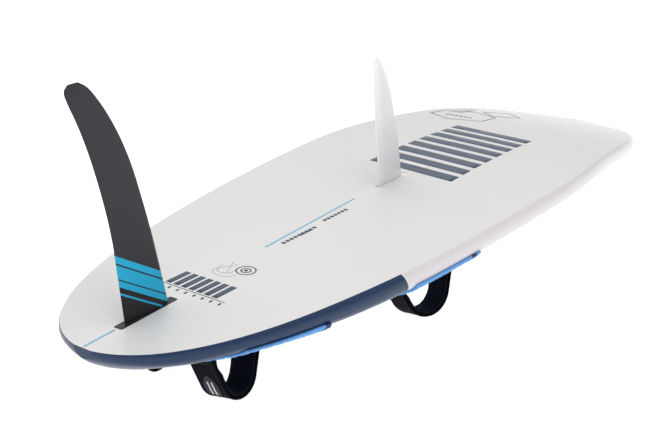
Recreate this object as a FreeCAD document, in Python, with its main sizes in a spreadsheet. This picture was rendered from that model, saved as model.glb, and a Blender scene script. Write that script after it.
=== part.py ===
import FreeCAD, Part
import math
import os

# Windsurf board lying deck down: +X to the nose, +Z out of the bottom, Y across.
# The origin is on the ground at the middle of the bounding box. Millimetres and degrees.

V = FreeCAD.Vector
doc = FreeCAD.newDocument("WindsurfBoard")
sheet = doc.addObject("Spreadsheet::Sheet", "dims")

DIMS = [
    # hull
    ("board_length", 2520),
    ("flat_height", 210),        # flat bottom above the ground
    ("rocker_rise", 166),        # drop of the nose from the flat bottom
    ("rocker_start", 0.391),     # where the nose curve begins, part of the length
    ("rocker_power", 2.42),
    ("bottom_vee", 5),
    ("skin_wall", 3),
    ("pad_wall", 7),
    ("overshoot", 40),           # how far a cutting tool stands out of its work
    # fin boxes and fin heads, the same pattern at both fins
    ("main_fin_x", -1092),
    ("centre_fin_x", -159),
    ("finbox_length", 158),
    ("finbox_width", 22),
    ("finbox_depth", 68),
    ("finbox_wall", 3),
    ("finbox_corner", 5),
    ("head_gap", 0.4),
    ("head_depth", 60),
    ("boss_radius", 13),
    ("recess_radius", 8),
    ("recess_depth", 9),
    ("bolt_radius", 3),
    ("bolt_bore_radius", 3.4),
    ("bolt_head_radius", 5.5),
    ("bolt_head_height", 5),
    ("bolt_engagement", 10),
    ("washer_radius", 7.5),
    ("washer_wall", 1.5),
    ("nut_radius", 6),
    ("nut_depth", 46),
    ("hex_socket", 2.9),
    # mast track
    ("track_x", 72),
    ("track_length", 268),
    ("track_width", 40),
    ("track_depth", 42),
    ("channel_length", 252),
    ("channel_width", 30),
    ("channel_depth", 26),
    ("slot_length", 236),
    ("slot_width", 12),
    ("slot_lip", 6),
    ("tee_width", 22),
    ("tee_depth", 20),
    ("track_corner", 12),
    ("channel_corner", 8),
    # vent
    ("vent_x", 372),
    ("vent_radius", 13),
    ("vent_depth", 24),
    ("vent_cup_radius", 8.5),
    ("vent_cup_depth", 9),
    ("vent_screw_radius", 8),
    ("vent_shank_radius", 3.8),
    ("vent_bore_radius", 4),
    ("vent_seal_wall", 1.5),
    # footstraps
    ("strap_width", 64),
    ("liner_wall", 8.5),
    ("webbing_wall", 2.5),
    ("cover_wall", 3),
    ("strap_lift", 3),           # foot plate above the deck laminate
    ("strap_foot", 30),
    ("strap_step", 13),          # screw row outside the leg
    ("cover_start", 20),
    ("insert_length", 70),
    ("insert_width", 44),
    ("insert_depth", 28),
    ("insert_corner", 10),
    ("insert_pitch", 22),        # hole rows along the strap
    ("insert_gauge", 24),        # hole columns across the strap
    ("screw_radius", 2.5),
    ("screw_hole_radius", 2.55),
    ("screw_hole_depth", 22),
    ("screw_head_radius", 5.5),
    ("screw_head_height", 3),
    ("plate_wall", 1.5),
    ("plate_length", 16),
    ("plate_width", 40),
    ("pad_hole_radius", 5),
]

for row, (alias, value) in enumerate(DIMS, start=1):
    sheet.set("A%d" % row, alias)
    sheet.set("B%d" % row, str(value))
    sheet.setAlias("B%d" % row, alias)
doc.recompute()


def cell(alias):
    return float(getattr(sheet, alias))


def bind(obj, **expressions):
    """Tie properties to sheet cells; a name such as Base_x means Placement.Base.x."""
    for name, text in expressions.items():
        path = name.replace("Base_", "Placement.Base.")
        words = []
        for word in text.split(" "):
            bare = word.strip("()")
            if bare.isidentifier():
                word = word.replace(bare, "dims." + bare)
            words.append(word)
        obj.setExpression(path, " ".join(words))
    return obj


# ---------------------------------------------------------------- primitives

def block(label, length, width, height, x="0", y="0", z="0"):
    """A box centred on x and y, with its lower face at z."""
    obj = doc.addObject("Part::Box", label)
    bind(obj, Length=length, Width=width, Height=height)
    bind(obj, Base_x=x + " - ( " + length + " ) / 2", Base_y=y + " - ( " + width + " ) / 2", Base_z=z)
    return obj


def rod(label, radius, height, x="0", y="0", z="0"):
    """A cylinder along +Z from z."""
    obj = doc.addObject("Part::Cylinder", label)
    bind(obj, Radius=radius, Height=height, Base_x=x, Base_y=y, Base_z=z)
    return obj


def cross_rod(label, radius, length, x, z):
    """A cylinder along Y, centred on the XZ plane."""
    obj = doc.addObject("Part::Cylinder", label)
    obj.Placement.Rotation = FreeCAD.Rotation(V(1, 0, 0), 90)
    return bind(obj, Radius=radius, Height=length, Base_x=x, Base_y="( " + length + " ) / 2", Base_z=z)


def fuse(label, *pieces):
    obj = doc.addObject("Part::MultiFuse", label)
    obj.Shapes = list(pieces)
    return obj


def cut(label, base, *tools):
    obj = doc.addObject("Part::Cut", label)
    obj.Base = base
    obj.Tool = tools[0] if len(tools) == 1 else group(label + "_tools", *tools)
    return obj


def common(label, base, tool):
    obj = doc.addObject("Part::Common", label)
    obj.Base = base
    obj.Tool = tool
    return obj


def group(label, *pieces):
    obj = doc.addObject("Part::Compound", label)
    obj.Links = list(pieces)
    return obj


def rounded(label, base, radius):
    """Round the vertical edges of a box."""
    doc.recompute()
    upright = []
    for index, edge in enumerate(base.Shape.Edges, start=1):
        ends = [vertex.Point for vertex in edge.Vertexes]
        if abs(ends[0].z - ends[1].z) > 0.9 * edge.Length:
            upright.append((index, radius, radius))
    obj = doc.addObject("Part::Fillet", label)
    obj.Base = base
    obj.Edges = upright
    return obj


def solid(label, shape):
    obj = doc.addObject("Part::Feature", label)
    obj.Shape = shape
    return obj


# ---------------------------------------------------------------- hull form

# Offsets of the hull: distance from the tail, half width of the hard bottom edge,
# thickness on the centre line, height of the rail, bulge of the rail outside the edge.
STATIONS = [
    (2, 21, 23, 11, 2),
    (12, 54, 34, 15, 3),
    (45, 107, 57, 21, 4),
    (110, 163, 79, 26, 4),
    (230, 223, 96, 29, 6),
    (420, 278, 110, 41, 9),
    (720, 331, 121, 46, 11),
    (1080, 366, 125, 48, 12),
    (1440, 383, 122, 48, 12),
    (1800, 358, 110, 48, 12),
    (2080, 331, 92, 46, 12),
    (2280, 274, 72, 42, 11),
    (2400, 196, 59, 36, 9),
    (2470, 126, 51, 32, 8),
    (2505, 69, 46, 28, 6),
    (2518, 25, 44, 26, 5),
]

# The rail from the hard edge to the deck: parts of the bulge outwards and of the rail
# height downwards, then the direction in which a skin's thickness is measured there.
RAIL = [
    (0.0, 0.0, 1.0, 1.0),
    (0.75, 0.22, 1.0, 0.2),
    (1.0, 0.50, 1.0, 0.0),
    (0.72, 0.85, 0.7, -0.7),
    (-0.6, 1.15, 0.45, -0.9),
]

# The deck inwards of the rail: parts of the half width.
CROWN = (0.84, 0.58, 0.29, 0.0)
CROWN_POWER = 1.8


def bottom_height(from_tail):
    """The flat bottom, then the nose curve down to the tip."""
    along = from_tail / cell("board_length") - cell("rocker_start")
    curve = max(0.0, along / (1 - cell("rocker_start")))
    return cell("flat_height") - cell("rocker_rise") * curve ** cell("rocker_power")


def vee_height(from_tail):
    """The centre line stands above the hard edges from the mast forwards."""
    return cell("bottom_vee") * min(1.0, max(0.0, (from_tail - 400) / 1200))


def half_section(half, thick, rail, bulge, grow):
    """Points (y, depth) from the hard edge round the rail to the middle of the deck."""
    points = []
    for out, down, side, up in RAIL:
        points.append((half + out * bulge + side * grow, -down * rail + up * grow))
    deck_edge = RAIL[-1][1] * rail
    for part in CROWN:
        depth = thick - (thick - deck_edge) * part ** CROWN_POWER
        points.append((half * part + 0.35 * part * grow, -depth - grow))
    return points


def station_wire(station, grow):
    """One closed cross section, as an arched bottom edge and one rail and deck curve."""
    from_tail, half, thick, rail, bulge = station
    x = from_tail - cell("board_length") / 2
    if station is STATIONS[0]:
        x -= grow
    if station is STATIONS[-1]:
        x += grow
    base = bottom_height(from_tail)
    right = half_section(half, thick, rail, bulge, grow)
    outline = right + [(-y, z) for y, z in reversed(right[:-1])]
    deck = Part.BSplineCurve()
    deck.interpolate([V(x, y, base + z) for y, z in outline])
    edge_y, edge_z = right[0]
    vee = vee_height(from_tail)
    arch = [(-1, 0), (-0.5, 0.75), (0, 1), (0.5, 0.75), (1, 0)]
    bottom = Part.BSplineCurve()
    bottom.interpolate([V(x, edge_y * side, base + edge_z + vee * up) for side, up in arch])
    return Part.Wire([bottom.toShape(), deck.toShape()])


def hull_form(label, grow):
    wires = [station_wire(station, grow) for station in STATIONS]
    return solid(label, Part.makeLoft(wires, True, False))


hull = hull_form("hull_outer", 0.0)
inner = hull_form("hull_inner", -cell("skin_wall"))
padded = hull_form("hull_padded", cell("pad_wall"))


def deck_height(x, y):
    """Height of the deck laminate at a point of the plan."""
    line = Part.LineSegment(V(x, y, -50), V(x, y, cell("flat_height") - 30)).toShape()
    return line.common(hull.Shape).BoundBox.ZMin


def parting_solid():
    """Everything above the joint line of the two skins, which runs along the rail."""
    points = []
    for from_tail, half, thick, rail, bulge in STATIONS:
        points.append(V(from_tail - cell("board_length") / 2, -600, bottom_height(from_tail) - rail / 2))
    points[0].x -= 50
    points[-1].x += 50
    curve = Part.BSplineCurve()
    curve.interpolate(points)
    top_end = V(points[-1].x, -600, 400)
    top_start = V(points[0].x, -600, 400)
    sides = Part.makePolygon([points[-1], top_end, top_start, points[0]])
    face = Part.Face(Part.Wire([curve.toShape()] + sides.Edges))
    return face.extrude(V(0, 1200, 0))


# ---------------------------------------------------------------- fins

# Blade stations: height above the box, then the trailing and leading edge
# measured from the middle of the box, then the thickness.
MAIN_BLADE = [
    (0, -59, 60, 11.5),
    (90, -67, 41, 10.5),
    (175, -75, 22, 9.2),
    (240, -86, 5, 8.0),
    (305, -101, -14, 6.8),
    (365, -118, -38, 5.6),
    (415, -136, -65, 4.4),
    (450, -151, -89, 3.2),
    (470, -156, -107, 2.4),
    (480, -147, -124, 1.6),
]
CENTRE_BLADE = [
    (0, -68, 51, 9.5),
    (95, -81, 27, 8.6),
    (185, -97, 0, 7.4),
    (245, -105, -22, 6.2),
    (290, -111, -43, 5.0),
    (325, -115, -66, 3.8),
    (345, -116, -85, 2.6),
    (352, -110, -95, 1.6),
]

# Foil half section: part of the chord from the leading edge, part of the half thickness.
FOIL = [(0.0, 0.0), (0.02, 0.34), (0.10, 0.74), (0.28, 1.0), (0.55, 0.82), (0.80, 0.42), (0.985, 0.11)]


BLADE_STEPS = 26


def slope(stations, index, column):
    first = stations[max(index - 1, 0)]
    last = stations[min(index + 1, len(stations) - 1)]
    return (last[column] - first[column]) / (last[0] - first[0])


def station_at(stations, height):
    """The blade station at any height, on a smooth curve through the given ones."""
    index = 0
    while index < len(stations) - 2 and height > stations[index + 1][0]:
        index += 1
    low, high = stations[index], stations[index + 1]
    span = high[0] - low[0]
    t = (height - low[0]) / span
    values = [height]
    for column in (1, 2, 3):
        rise_low = slope(stations, index, column) * span
        rise_high = slope(stations, index + 1, column) * span
        values.append((2 * t**3 - 3 * t**2 + 1) * low[column] + (t**3 - 2 * t**2 + t) * rise_low
                      + (3 * t**2 - 2 * t**3) * high[column] + (t**3 - t**2) * rise_high)
    return values


def foil_wire(x, station):
    """A symmetric foil as one closed curve that starts and ends at the trailing edge."""
    height, trailing, leading, thick = station
    chord = leading - trailing
    z = cell("flat_height") + height
    upper = [V(x + leading - chord * a, thick / 2 * b, z) for a, b in FOIL]
    lower = [V(p.x, -p.y, z) for p in upper]
    end = V(x + trailing, 0, z)
    curve = Part.BSplineCurve()
    curve.interpolate([end] + list(reversed(lower)) + upper[1:] + [end])
    return Part.Wire([curve.toShape()])


def blade_solid(x, stations):
    """Sections closer together towards the tip, joined by ruled faces."""
    depth = stations[-1][0]
    wires = []
    for step in range(BLADE_STEPS + 1):
        height = depth * math.sin(math.pi / 2 * step / BLADE_STEPS)
        wires.append(foil_wire(x, station_at(stations, height)))
    return Part.makeLoft(wires, True, True)


def fin_system(name, fin_x, blade_stations):
    """Box, head, blade, barrel nut, bolt and washer of one fin."""
    x = name + "_x"
    top = "flat_height"
    mid = cell(x)
    deck = deck_height(mid, 0.0)
    seat = deck + cell("recess_depth")
    seat_text = "%.2f" % seat
    inner_corner = cell("finbox_corner") - cell("finbox_wall")

    box_block = block(name + "_block", "finbox_length", "finbox_width", "finbox_depth + overshoot",
                      x, "0", top + " - finbox_depth")
    body = rounded(name + "_body", box_block, cell("finbox_corner"))
    boss = rod(name + "_boss", "boss_radius", "flat_height - finbox_depth", x)
    envelope = fuse(name + "_envelope", body, boss)
    cavity_block = block(name + "_cavity_block", "finbox_length - 2 * finbox_wall",
                         "finbox_width - 2 * finbox_wall", "finbox_depth + overshoot",
                         x, "0", top + " - finbox_depth + finbox_wall")
    cavity = rounded(name + "_cavity", cavity_block, inner_corner)
    bore = rod(name + "_bore", "bolt_bore_radius", top, x)
    recess = rod(name + "_recess", "recess_radius", seat_text, x)
    flush = common(name + "_flush", envelope, hull)
    box = cut(name + "_box", flush, cavity, bore, recess)

    head_block = block(name + "_head_block", "finbox_length - 2 * finbox_wall - 2 * head_gap",
                       "finbox_width - 2 * finbox_wall - 2 * head_gap", "head_depth",
                       x, "0", top + " - head_depth")
    head_round = rounded(name + "_head_round", head_block, inner_corner - cell("head_gap"))
    head_bore = rod(name + "_head_bore", "bolt_bore_radius", "head_depth - nut_depth + 22",
                    x, "0", top + " - head_depth - 2")
    nut_hole = cross_rod(name + "_nut_hole", "nut_radius + 0.05", "finbox_width", x, top + " - nut_depth")
    head = cut(name + "_head", head_round, head_bore, nut_hole)

    blade = solid(name + "_blade", blade_solid(mid, blade_stations))

    nut_rod = cross_rod(name + "_nut_rod", "nut_radius", "finbox_width - 2 * finbox_wall - 2 * head_gap",
                        x, top + " - nut_depth")
    nut_bore = rod(name + "_nut_bore", "bolt_radius + 0.05", "30", x, "0", top + " - nut_depth - 15")
    nut = cut(name + "_nut", nut_rod, nut_bore)

    washer_disc = rod(name + "_washer_disc", "washer_radius", "washer_wall", x, "0",
                      seat_text + " - washer_wall")
    washer_hole = rod(name + "_washer_hole", "bolt_bore_radius", "10", x, "0", seat_text + " - 5")
    washer = cut(name + "_washer", washer_disc, washer_hole)

    shank = rod(name + "_shank", "bolt_radius", top + " - nut_depth + bolt_engagement - " + seat_text
                + " + washer_wall", x, "0", seat_text + " - washer_wall")
    bolt_head = rod(name + "_bolt_head", "bolt_head_radius", "bolt_head_height", x, "0",
                    seat_text + " - washer_wall - bolt_head_height")
    socket = doc.addObject("Part::Prism", name + "_socket")
    socket.Polygon = 6
    bind(socket, Circumradius="hex_socket", Height="3", Base_x=x,
         Base_z=seat_text + " - washer_wall - bolt_head_height")
    bolt = cut(name + "_bolt", fuse(name + "_bolt_solid", shank, bolt_head), socket)
    return envelope, [box, head, blade, nut, washer, bolt]


main_envelope, main_nodes = fin_system("main_fin", "main_fin_x", MAIN_BLADE)
centre_envelope, centre_nodes = fin_system("centre_fin", "centre_fin_x", CENTRE_BLADE)


# ---------------------------------------------------------------- mast track

def mast_track():
    """A composite tray in the deck and the aluminium channel with its T slot."""
    deck = deck_height(cell("track_x"), 0.0)
    outside = "%.2f - overshoot" % deck
    deck_text = "%.2f" % deck
    tray_block = block("track_block", "track_length", "track_width", "track_depth + overshoot",
                       "track_x", "0", outside)
    envelope = rounded("track_envelope", tray_block, cell("track_corner"))
    channel_room = block("channel_room", "channel_length", "channel_width", "channel_depth + overshoot",
                         "track_x", "0", outside)
    room = rounded("channel_room_round", channel_room, cell("channel_corner"))
    tray = cut("mast_track_box", common("track_flush", envelope, hull), room)
    channel_flush = common("channel_flush", room, hull)
    slot = block("track_slot", "slot_length", "slot_width", "slot_lip + 2 + overshoot", "track_x", "0",
                 outside)
    tee = block("track_tee", "slot_length", "tee_width", "tee_depth - slot_lip", "track_x", "0",
                deck_text + " + slot_lip")
    end_round = cell("slot_width") / 2 - 0.1
    channel = cut("mast_track_channel", channel_flush, rounded("slot_round", slot, end_round),
                  rounded("tee_round", tee, end_round))
    return envelope, [tray, channel]


track_envelope, track_nodes = mast_track()


# ---------------------------------------------------------------- vent

def vent():
    """A flanged insert with a cup, a breathing membrane, a slotted screw and its seal."""
    deck = deck_height(cell("vent_x"), 0.0)
    deck_text = "%.2f" % deck
    cup_floor = deck_text + " + vent_cup_depth"
    outside = deck_text + " - overshoot"
    envelope = rod("vent_envelope", "vent_radius", "vent_depth + overshoot", "vent_x", "0", outside)
    cup = rod("vent_cup", "vent_cup_radius", "vent_cup_depth + overshoot", "vent_x", "0", outside)
    bore = rod("vent_bore", "vent_bore_radius", "vent_depth + overshoot", "vent_x", "0", deck_text)
    body = cut("vent_body", common("vent_flush", envelope, hull), cup, bore)
    membrane = rod("vent_membrane", "vent_bore_radius", "0.6", "vent_x", "0",
                   deck_text + " + vent_depth - 0.6")
    seal_disc = rod("vent_seal_disc", "vent_screw_radius", "vent_seal_wall", "vent_x", "0",
                    cup_floor + " - vent_seal_wall")
    seal_hole = rod("vent_seal_hole", "vent_bore_radius", "20", "vent_x", "0", deck_text)
    seal = cut("vent_seal", seal_disc, seal_hole)
    cap = rod("vent_cap", "vent_screw_radius", "4", "vent_x", "0", cup_floor + " - vent_seal_wall - 4")
    shank = rod("vent_shank", "vent_shank_radius", "10", "vent_x", "0", cup_floor + " - vent_seal_wall")
    coin_slot = block("vent_coin_slot", "12", "2", "2", "vent_x", "0",
                      cup_floor + " - vent_seal_wall - 4")
    screw = cut("vent_screw", fuse("vent_screw_solid", cap, shank), coin_slot)
    return envelope, [body, membrane, seal, screw]


vent_envelope, vent_nodes = vent()


# ---------------------------------------------------------------- footstraps

# Name, plan position of the base, turn of the strap about the deck normal, then of the
# outer face: half span at the deck, radius of the crown and height over the laminate.
STRAPS = {
    "rear": (-971, 90, 2, 80, 51, 116.8),
    "front": (-432, 230, 22, 92, 66, 117.3),
}
SIDES = {"left": 1, "right": -1}


def deck_placement(x, y, turn, reach):
    """A frame on the deck: z along the outward normal, x along the turned strap."""
    dx = V(2 * reach, 0, deck_height(x + reach, y) - deck_height(x - reach, y))
    dy = V(0, 60, deck_height(x, y + 30) - deck_height(x, y - 30))
    normal = dy.cross(dx)
    normal.normalize()
    ahead = V(math.cos(math.radians(turn)), math.sin(math.radians(turn)), 0)
    ahead = ahead - normal * ahead.dot(normal)
    ahead.normalize()
    across = normal.cross(ahead)
    mean = (deck_height(x + reach, y) + deck_height(x - reach, y)) / 2
    rotation = FreeCAD.Rotation(ahead, across, normal, "XYZ")
    return FreeCAD.Placement(V(x, y, mean), rotation)


def leg_lean(half, radius, top):
    """Angle by which a leg leans inwards to run into the crown."""
    centre = top - radius
    return math.acos(radius / math.hypot(half, centre)) - math.atan2(centre, half)


def leg_point(form, inset, height):
    """The face of the right leg, inset from the outer face, at a height over the deck."""
    half, radius, top = form
    lean = leg_lean(half, radius, top)
    touch = V((radius - inset) * math.cos(lean), 0, top - radius + (radius - inset) * math.sin(lean))
    return V(touch.x + math.tan(lean) * (touch.z - height), 0, height), touch


def arch_prism(form, inset, width, start):
    """A solid U between two leaning legs and a round crown, from the height start."""
    foot, touch = leg_point(form, inset, start)
    crown = V(0, 0, form[2] - inset)
    left_foot = V(-foot.x, 0, foot.z)
    left_touch = V(-touch.x, 0, touch.z)
    edges = [
        Part.LineSegment(left_foot, left_touch).toShape(),
        Part.Arc(left_touch, crown, touch).toShape(),
        Part.LineSegment(touch, foot).toShape(),
        Part.LineSegment(foot, left_foot).toShape(),
    ]
    prism = Part.Face(Part.Wire(edges)).extrude(V(0, width, 0))
    prism.translate(V(0, -width / 2, 0))
    return prism


def arch_band(label, form, inset, wall, start):
    """One layer of a strap, with its outer face inset from the cover's outer face."""
    width = cell("strap_width")
    outer = solid(label + "_outer", arch_prism(form, inset, width, start))
    hollow = solid(label + "_hollow", arch_prism(form, inset + wall, width + 2, start - 40))
    return cut(label, outer, hollow)


def hole_places(end):
    """Plan offsets of one insert's six holes; the middle row holds the strap."""
    places = []
    for row in (-1, 0, 1):
        for column in (-0.5, 0.5):
            places.append((end + row * cell("insert_pitch"), column * cell("insert_gauge"), row == 0))
    return places


def footstrap(name, station, side_name):
    x, y, turn, *form = STRAPS[station]
    side = SIDES[side_name]
    lift = cell("strap_lift")
    web_inset = cell("cover_wall")
    liner_inset = web_inset + cell("webbing_wall")
    web_half = leg_point(form, web_inset, lift)[0].x
    foot_mid = web_half + cell("strap_step")
    place = deck_placement(x, side * y, side * turn, foot_mid)

    liner = arch_band("strap_liner_" + name, form, liner_inset, cell("liner_wall"), lift)
    band = arch_band("strap_band_" + name, form, web_inset, cell("webbing_wall"), lift)
    feet = []
    for end in (-1, 1):
        mid = end * (web_half + cell("strap_foot") / 2 - 1)
        feet.append(block("strap_foot_%s_%d" % (name, end + 1), "strap_foot + 2", "strap_width",
                          "webbing_wall", "%g" % mid, "0", "strap_lift"))
    cover = arch_band("strap_cover_" + name, form, 0, cell("cover_wall"), cell("cover_start"))

    plates, screws, inserts, shanks, inserts_room, recesses = [], [], [], [], [], []
    for end in (-1, 1):
        tag = "%s_%d" % (name, end + 1)
        mid = end * foot_mid
        plates.append(block("plate_" + tag, "plate_length", "plate_width", "plate_wall",
                            "%g" % mid, "0", "strap_lift + webbing_wall"))
        insert_block = block("insert_block_" + tag, "insert_length", "insert_width",
                             "insert_depth + overshoot", "%g" % mid, "0", "0 - insert_depth")
        inserts_room.append(rounded("insert_room_" + tag, insert_block, cell("insert_corner")))
        recesses.append(block("recess_" + tag, "strap_foot + 18", "strap_width + 3", "overshoot",
                              "%g" % (mid - end * 5), "0", "strap_lift - 0.5"))
        for number, (along, across, used) in enumerate(hole_places(mid)):
            where = ("%g" % along, "%g" % across)
            hole = rod("hole_%s_%d" % (tag, number), "screw_hole_radius", "screw_hole_depth + overshoot",
                       where[0], where[1], "0 - screw_hole_depth")
            inserts.append(hole)
            recesses.append(rod("pad_hole_%s_%d" % (tag, number), "pad_hole_radius", "overshoot",
                                where[0], where[1], "0 - overshoot / 2"))
            if used:
                shank = rod("screw_shank_%s_%d" % (tag, number), "screw_radius",
                            "screw_hole_depth - 2 + strap_lift + webbing_wall + plate_wall",
                            where[0], where[1], "2 - screw_hole_depth")
                cap = rod("screw_head_%s_%d" % (tag, number), "screw_head_radius", "screw_head_height",
                          where[0], where[1], "strap_lift + webbing_wall + plate_wall")
                screws.append(fuse("screw_%s_%d" % (tag, number), shank, cap))
                shanks.append(rod("screw_room_%s_%d" % (tag, number), "screw_radius + 0.1", "overshoot",
                                  where[0], where[1], "0 - overshoot / 2"))

    webbing = cut("strap_webbing_" + name, fuse("strap_webbing_solid_" + name, band, *feet),
                  group("webbing_holes_" + name, *shanks))
    washers = cut("strap_plates_" + name, group("plates_" + name, *plates),
                  group("plate_holes_" + name, *shanks))
    screw_set = group("strap_screws_" + name, *screws)
    room = group("inserts_room_" + name, *inserts_room)
    holes = group("insert_holes_" + name, *inserts)
    recess = fuse("pad_recesses_" + name, *recesses)
    for obj in (liner, webbing, cover, washers, screw_set, room, holes, recess):
        obj.Placement = place
    insert = cut("strap_inserts_" + name, common("inserts_flush_" + name, room, hull), holes)
    return room, recess, [liner, webbing, cover, washers, screw_set, insert]


strap_rooms = []
strap_nodes = []
pad_recesses = {}
for station in STRAPS:
    for side_name in SIDES:
        name = station + "_" + side_name
        room, recess, pieces = footstrap(name, station, side_name)
        strap_rooms.append(room)
        pad_recesses[name] = recess
        strap_nodes += pieces


# ---------------------------------------------------------------- deck pads

# Plan outline of each pad on the left side: corner points from tail to nose, as distance from
# the tail and distance from the centre line. A pad wraps over the deck on to the rail.
PADS = {
    "rear": [(160, 22), (160, 75), (212, 230), (375, 320), (388, 285), (425, 250), (440, 60), (400, 22)],
    "front": [(590, 110), (600, 220), (640, 290), (648, 345), (880, 385), (912, 348), (1000, 315),
              (1090, 230), (1080, 140), (1030, 95), (640, 95)],
}
PAD_CORNER = 18
PAD_TOP = {"rear": 32, "front": 37}      # pad edge below the hard edge of the bottom


def pad_prism(points, side, top):
    """The pad outline with rounded corners, as a prism under the rail line."""
    corners = [V(a - cell("board_length") / 2, side * b, -60) for a, b in points]
    edges = []
    count = len(corners)
    starts = []
    for index in range(count):
        corner = corners[index]
        before = (corners[index - 1] - corner).normalize()
        after = (corners[(index + 1) % count] - corner).normalize()
        turn = math.acos(max(-1.0, min(1.0, before.dot(after))))
        reach = min(PAD_CORNER / math.tan(turn / 2), 30)
        middle = (before + after).normalize()
        radius = reach * math.tan(turn / 2)
        depth = radius / math.sin(turn / 2) - radius
        starts.append((corner + before * reach, corner + middle * depth, corner + after * reach))
    for index in range(count):
        first, mid, last = starts[index]
        edges.append(Part.Arc(first, mid, last).toShape())
        edges.append(Part.LineSegment(last, starts[(index + 1) % count][0]).toShape())
    face = Part.Face(Part.Wire(edges))
    return face.extrude(V(0, 0, 60 + cell("flat_height") - top))


pad_nodes = []
for station, points in PADS.items():
    for side_name, side in SIDES.items():
        name = station + "_" + side_name
        prism = solid("pad_prism_" + name, pad_prism(points, side, PAD_TOP[station]))
        layer = cut("pad_layer_" + name, common("pad_stock_" + name, padded, prism), hull)
        pad_nodes.append(cut("deck_pad_" + name, layer, pad_recesses[name]))


# ---------------------------------------------------------------- core and skins

rooms = group("insert_rooms", main_envelope, centre_envelope, track_envelope, vent_envelope, *strap_rooms)
shell = cut("skin_shell", hull, inner)
open_shell = cut("skin_open", shell, rooms)
parting = solid("parting_line", parting_solid())
bottom_skin = common("bottom_skin", open_shell, parting)
deck_skin = cut("deck_skin", open_shell, parting)
foam_core = cut("foam_core", inner, group("core_rooms", rooms))

nodes = [foam_core, bottom_skin, deck_skin]
nodes += main_nodes + centre_nodes + track_nodes + vent_nodes + strap_nodes + pad_nodes

doc.recompute()

for obj in doc.Objects:
    if "Invalid" in obj.State or "Error" in obj.State:
        raise RuntimeError("failed object: " + obj.Label)
for node in nodes:
    if node.Shape.isNull() or not node.Shape.isValid():
        raise RuntimeError("bad shape: " + node.Label)

os.makedirs("parts", exist_ok=True)
for node in nodes:
    node.Shape.exportStep("parts/" + node.Label + ".step")
    box = node.Shape.BoundBox
    print("%-34s %2d solids %10.0f mm3  z %.1f..%.1f" % (
        node.Label, len(node.Shape.Solids), node.Shape.Volume, box.ZMin, box.ZMax))
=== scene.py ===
import math

import bmesh
import bpy
from mathutils import Matrix, Vector
from mathutils.bvhtree import BVHTree


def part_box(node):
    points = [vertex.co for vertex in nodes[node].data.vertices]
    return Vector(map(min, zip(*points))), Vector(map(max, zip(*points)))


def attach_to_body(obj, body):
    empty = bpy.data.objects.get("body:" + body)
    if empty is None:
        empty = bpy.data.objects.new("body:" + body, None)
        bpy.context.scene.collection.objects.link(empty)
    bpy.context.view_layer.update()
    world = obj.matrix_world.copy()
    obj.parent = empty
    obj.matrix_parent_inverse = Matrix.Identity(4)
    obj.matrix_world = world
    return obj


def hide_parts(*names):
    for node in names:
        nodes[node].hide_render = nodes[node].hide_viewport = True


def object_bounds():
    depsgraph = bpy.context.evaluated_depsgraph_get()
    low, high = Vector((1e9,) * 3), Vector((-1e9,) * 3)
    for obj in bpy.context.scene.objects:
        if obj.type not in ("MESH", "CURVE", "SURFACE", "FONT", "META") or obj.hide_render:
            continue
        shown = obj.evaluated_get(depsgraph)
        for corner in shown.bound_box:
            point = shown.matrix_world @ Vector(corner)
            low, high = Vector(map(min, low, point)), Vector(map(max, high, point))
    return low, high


# The board lies deck down: +X to the nose, +Z out of the bottom, Y across. Metres.

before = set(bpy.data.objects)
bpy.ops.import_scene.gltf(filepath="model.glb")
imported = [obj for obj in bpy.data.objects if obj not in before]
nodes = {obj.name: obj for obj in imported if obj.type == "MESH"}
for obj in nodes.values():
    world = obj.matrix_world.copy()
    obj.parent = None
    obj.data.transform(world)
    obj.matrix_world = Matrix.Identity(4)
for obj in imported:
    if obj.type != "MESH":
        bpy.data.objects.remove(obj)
cad_low, cad_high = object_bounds()
BOARD = "board"

TAIL_X = cad_low.x
FLAT_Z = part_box("main_fin_head")[1].z
MAIN_FIN_X = sum((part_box("main_fin_box")[i].x for i in (0, 1))) / 2
CENTRE_FIN_X = sum((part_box("centre_fin_box")[i].x for i in (0, 1))) / 2
NAVY_END = TAIL_X + 0.604            # front end of the navy rail at the hard edge
NAVY_SLANT = 0.45                    # forward run of that end for each metre down
RAIL_START = 0.88                    # the rail begins where the skin's normal points up less than this


# ---------------------------------------------------------------- helpers

def srgb(red, green, blue):
    """A linear colour from display values between 0 and 255."""
    parts = []
    for value in (red, green, blue):
        value = value / 255
        parts.append(value / 12.92 if value <= 0.04045 else ((value + 0.055) / 1.055) ** 2.4)
    return tuple(parts) + (1.0,)


def mesh_object(name, points, faces, smooth=True):
    mesh = bpy.data.meshes.new(name)
    mesh.from_pydata([tuple(p) for p in points], [], faces)
    mesh.validate()
    mesh.polygons.foreach_set("use_smooth", [smooth] * len(mesh.polygons))
    obj = bpy.data.objects.new(name, mesh)
    bpy.context.collection.objects.link(obj)
    return obj


def soften(obj, degrees=35):
    """Smooth shading that keeps edges sharper than an angle."""
    for polygon in obj.data.polygons:
        polygon.use_smooth = True
    bm = bmesh.new()
    bm.from_mesh(obj.data)
    bmesh.ops.recalc_face_normals(bm, faces=bm.faces)
    for edge in bm.edges:
        if len(edge.link_faces) == 2:
            edge.smooth = edge.calc_face_angle(0) < math.radians(degrees)
    bm.to_mesh(obj.data)
    bm.free()


def attach(obj, slot, material, *replaced):
    """The four facts that every piece of the visual model needs: material, body, slot (not used) and CAD
    nodes.
    """
    obj.data.materials.clear()
    obj.data.materials.append(material)
    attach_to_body(obj, BOARD)
    if replaced:
        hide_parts(*replaced)


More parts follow.
